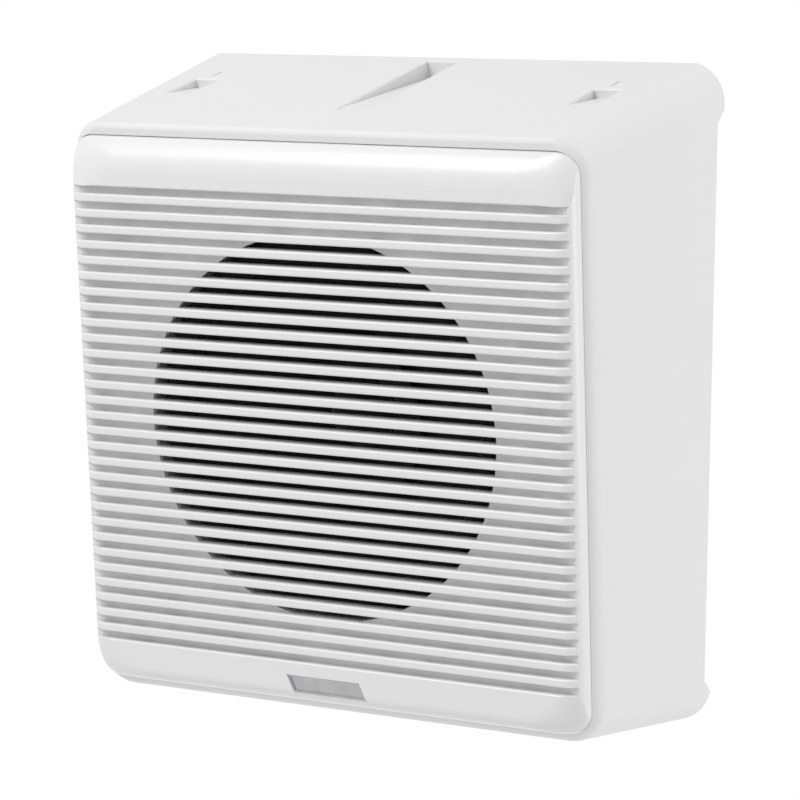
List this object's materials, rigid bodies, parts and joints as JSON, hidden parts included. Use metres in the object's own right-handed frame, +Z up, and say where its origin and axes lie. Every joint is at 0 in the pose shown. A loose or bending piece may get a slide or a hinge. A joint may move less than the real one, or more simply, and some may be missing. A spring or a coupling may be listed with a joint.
{
  "type": "wall speaker",
  "caption": "Wall-hung cabinet loudspeaker: drafted white moulded box, louvred front grille leaning slightly down, full-range driver, line transformer and hanging keyholes.",
  "frame": {"origin": "on the rear panel's outer face, midway between the round entries of the two hanging keyholes", "axes": "+Z up, +Y into the wall, whose plane is y = 6.5 mm, front faces -Y, +X to the right seen from the front"},
  "size_m": [0.233, 0.1089, 0.2507],
  "materials": {
    "cabinet_white": "white moulding, fine satin texture",
    "grille_white": "white moulding, smooth satin",
    "badge_plate": "blank plate, satin",
    "plated_steel": "zinc plated",
    "gasket_foam": "grey closed-cell foam, matt",
    "black_steel": "black paint, satin",
    "surround_cloth": "treated cloth, matt",
    "cone_paper": "black pulp paper, matt",
    "dust_cap_cloth": "black felt, matt",
    "former_foil": "thin foil",
    "copper_wire": "enamelled and braided copper",
    "spider_cloth": "resin-stiffened cloth",
    "ferrite": "sintered, matt",
    "tag_board": "laminated board",
    "tinned_brass": "bright",
    "grommet_rubber": "grey rubber",
    "core_steel": "varnished laminations",
    "bobbin_plastic": "natural moulding",
    "winding_tape": "yellow wrapping tape",
    "wire_red": "red insulation",
    "wire_black": "black insulation"
  },
  "bodies": {
    "housing": {"cabinet": "cabinet_white", "front_grille": "grille_white", "badge": "badge_plate", "grille_screws": "plated_steel", "driver_seal": "gasket_foam", "driver_gasket": "gasket_foam", "driver_basket": "black_steel", "driver_screws": "plated_steel", "surround": "surround_cloth", "spider": "spider_cloth", "top_plate": "plated_steel", "ring_magnet": "ferrite", "pole_piece": "plated_steel", "tag_strip": "tag_board", "solder_tags": "tinned_brass", "braided_leads": "copper_wire", "rear_panel": "cabinet_white", "rear_panel_screws": "plated_steel", "cable_grommet": "grommet_rubber", "transformer_core": "core_steel", "transformer_bobbin": "bobbin_plastic", "transformer_winding": "winding_tape", "transformer_strap": "plated_steel", "transformer_screws": "plated_steel", "terminal_block": "bobbin_plastic", "terminal_inserts": "tinned_brass", "terminal_screws": "plated_steel", "terminal_block_screws": "plated_steel", "input_wires": "wire_red", "driver_wires": "wire_black"},
    "cone": {"cone": "cone_paper", "whizzer_cone": "cone_paper", "dust_cap": "dust_cap_cloth", "coil_former": "former_foil", "voice_coil": "copper_wire"}
  },
  "joints": [
    {"name": "cone_travel", "type": "slide", "parent": "housing", "child": "cone", "axis": [0, -0.9958, -0.0917], "range_m": [-0.0025, 0.0025], "stiffness_N_per_m": 2000, "deforming": ["surround", "spider", "braided_leads"]}
  ]
}
